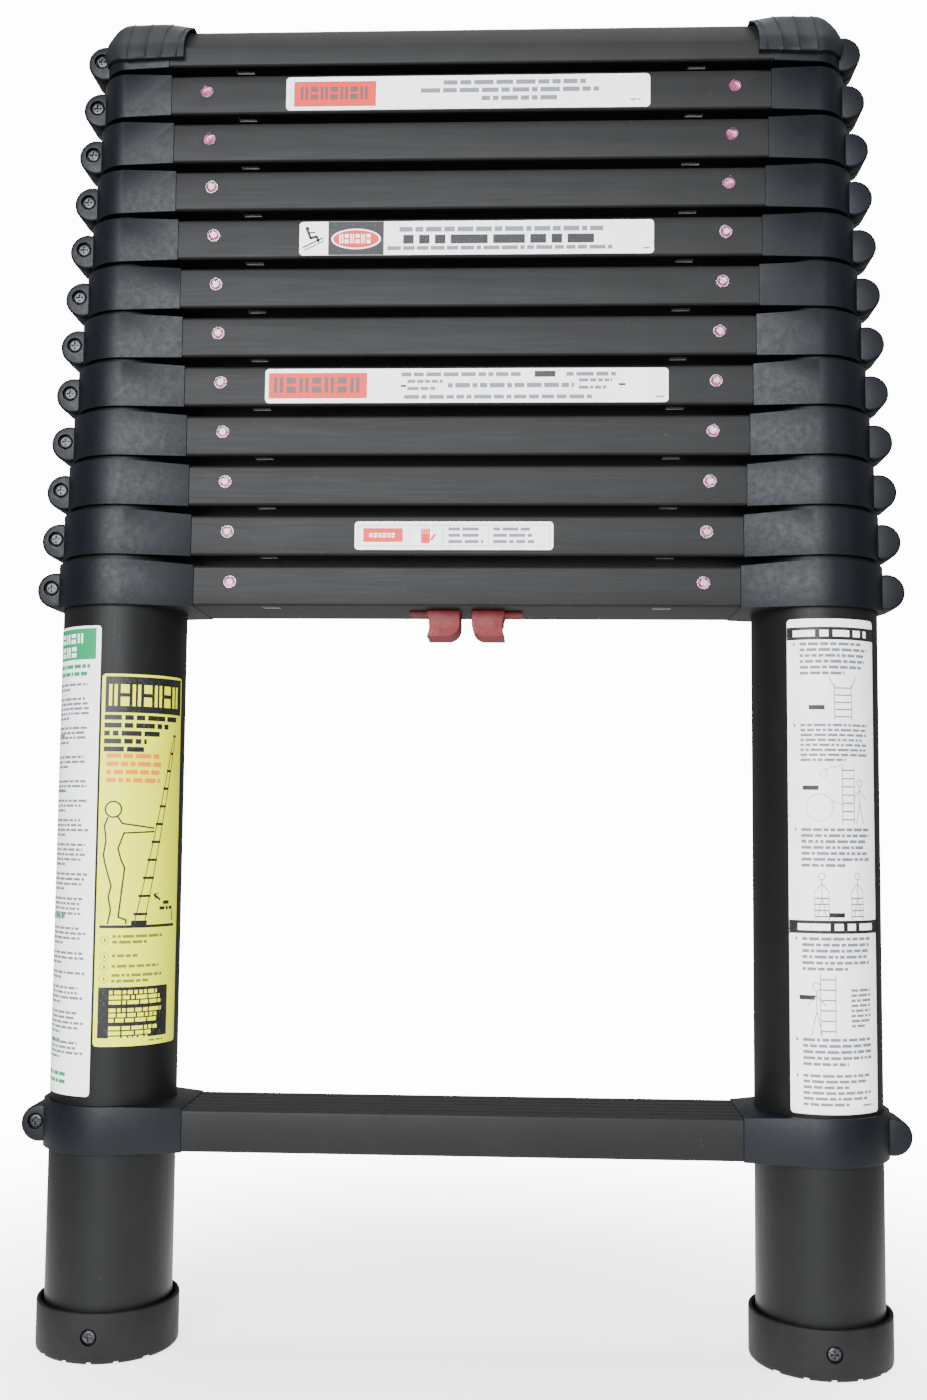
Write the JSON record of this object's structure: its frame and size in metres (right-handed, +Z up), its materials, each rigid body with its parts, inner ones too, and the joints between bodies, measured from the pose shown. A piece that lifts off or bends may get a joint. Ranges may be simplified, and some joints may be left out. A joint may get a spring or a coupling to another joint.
{
  "type": "telescoping ladder",
  "caption": "Collapsed telescoping ladder: nested aluminium tubes, stacked flat rungs in nylon clamp collars, thumb release buttons, rubber feet and top corner caps.",
  "frame": {"origin": "on the ground under the middle of the ladder, midway between the two feet", "axes": "+Z up along the tubes, +X towards the right foot seen from the front, -Y the front face that carries the labels"},
  "size_m": [0.493, 0.078, 0.753],
  "materials": {
    "painted_aluminium": "dark grey coated aluminium, satin",
    "collar_nylon": "blue-black glass-filled nylon, fine moulded texture",
    "foot_rubber": "black moulded rubber, matte",
    "release_red": "maroon red moulded plastic, satin",
    "screw_steel": "blackened steel",
    "pin_steel": "bright ground steel",
    "window_clear": "clear round window over a red flag",
    "sticker_film": "printed vinyl labels with made-up marks and no lettering"
  },
  "bodies": {
    "base": {"base_tube_left": "painted_aluminium", "base_tube_right": "painted_aluminium", "foot_left": "foot_rubber", "foot_right": "foot_rubber", "foot_screw_left": "screw_steel", "foot_screw_right": "screw_steel", "bottom_rung": "painted_aluminium", "lock_rung": "painted_aluminium", "bottom_collar_left": "collar_nylon", "bottom_collar_right": "collar_nylon", "lock_collar_left": "collar_nylon", "lock_collar_right": "collar_nylon", "bottom_clamp_screw_left": "screw_steel", "bottom_clamp_screw_right": "screw_steel", "lock_clamp_screw_left": "screw_steel", "lock_clamp_screw_right": "screw_steel", "indicator_window_left": "window_clear", "indicator_window_right": "window_clear", "lock_spring_left": "pin_steel", "lock_spring_right": "pin_steel"},
    "release_left": {"release_button_left": "release_red", "lock_pin_left": "pin_steel"},
    "release_right": {"release_button_right": "release_red", "lock_pin_right": "pin_steel"},
    "section_1": {"rung_3_with_collars": "painted_aluminium", "section_1_tube_left": "painted_aluminium", "section_1_tube_right": "painted_aluminium"},
    "section_2": {"rung_4_with_collars": "painted_aluminium", "section_2_tube_left": "painted_aluminium", "section_2_tube_right": "painted_aluminium"},
    "section_3": {"rung_5_with_collars": "painted_aluminium", "section_3_tube_left": "painted_aluminium", "section_3_tube_right": "painted_aluminium"},
    "section_4": {"rung_6_with_collars": "painted_aluminium", "section_4_tube_left": "painted_aluminium", "section_4_tube_right": "painted_aluminium"},
    "section_5": {"rung_7_with_collars": "painted_aluminium", "section_5_tube_left": "painted_aluminium", "section_5_tube_right": "painted_aluminium"},
    "section_6": {"rung_8_with_collars": "painted_aluminium", "section_6_tube_left": "painted_aluminium", "section_6_tube_right": "painted_aluminium"},
    "section_7": {"rung_9_with_collars": "painted_aluminium", "section_7_tube_left": "painted_aluminium", "section_7_tube_right": "painted_aluminium"},
    "section_8": {"rung_10_with_collars": "painted_aluminium", "section_8_tube_left": "painted_aluminium", "section_8_tube_right": "painted_aluminium"},
    "section_9": {"rung_11_with_collars": "painted_aluminium", "section_9_tube_left": "painted_aluminium", "section_9_tube_right": "painted_aluminium"},
    "section_10": {"rung_12_with_collars": "painted_aluminium", "section_10_tube_left": "painted_aluminium", "section_10_tube_right": "painted_aluminium"},
    "section_11": {"rung_13_with_collars": "painted_aluminium", "section_11_tube_left": "painted_aluminium", "section_11_tube_right": "painted_aluminium", "corner_cap_left": "foot_rubber", "corner_cap_right": "foot_rubber"}
  },
  "joints": [
    {"name": "release_left_slide", "type": "slide", "parent": "base", "child": "release_left", "axis": [1, 0, 0], "range_m": [0, 0.0028], "stiffness_N_per_m": 1500, "springref_m": -0.002, "deforming": ["lock_spring_left"]},
    {"name": "release_right_slide", "type": "slide", "parent": "base", "child": "release_right", "axis": [-1, 0, 0], "range_m": [0, 0.0028], "stiffness_N_per_m": 1500, "springref_m": -0.002, "deforming": ["lock_spring_right"]},
    {"name": "section_1_slide", "type": "slide", "parent": "base", "child": "section_1", "axis": [0, 0, 1], "range_m": [0, 0.2715]},
    {"name": "section_2_slide", "type": "slide", "parent": "section_1", "child": "section_2", "axis": [0, 0, 1], "range_m": [0, 0.2715]},
    {"name": "section_3_slide", "type": "slide", "parent": "section_2", "child": "section_3", "axis": [0, 0, 1], "range_m": [0, 0.2715]},
    {"name": "section_4_slide", "type": "slide", "parent": "section_3", "child": "section_4", "axis": [0, 0, 1], "range_m": [0, 0.2715]},
    {"name": "section_5_slide", "type": "slide", "parent": "section_4", "child": "section_5", "axis": [0, 0, 1], "range_m": [0, 0.2715]},
    {"name": "section_6_slide", "type": "slide", "parent": "section_5", "child": "section_6", "axis": [0, 0, 1], "range_m": [0, 0.2715]},
    {"name": "section_7_slide", "type": "slide", "parent": "section_6", "child": "section_7", "axis": [0, 0, 1], "range_m": [0, 0.2715]},
    {"name": "section_8_slide", "type": "slide", "parent": "section_7", "child": "section_8", "axis": [0, 0, 1], "range_m": [0, 0.2715]},
    {"name": "section_9_slide", "type": "slide", "parent": "section_8", "child": "section_9", "axis": [0, 0, 1], "range_m": [0, 0.2715]},
    {"name": "section_10_slide", "type": "slide", "parent": "section_9", "child": "section_10", "axis": [0, 0, 1], "range_m": [0, 0.2715]},
    {"name": "section_11_slide", "type": "slide", "parent": "section_10", "child": "section_11", "axis": [0, 0, 1], "range_m": [0, 0.2715]}
  ]
}
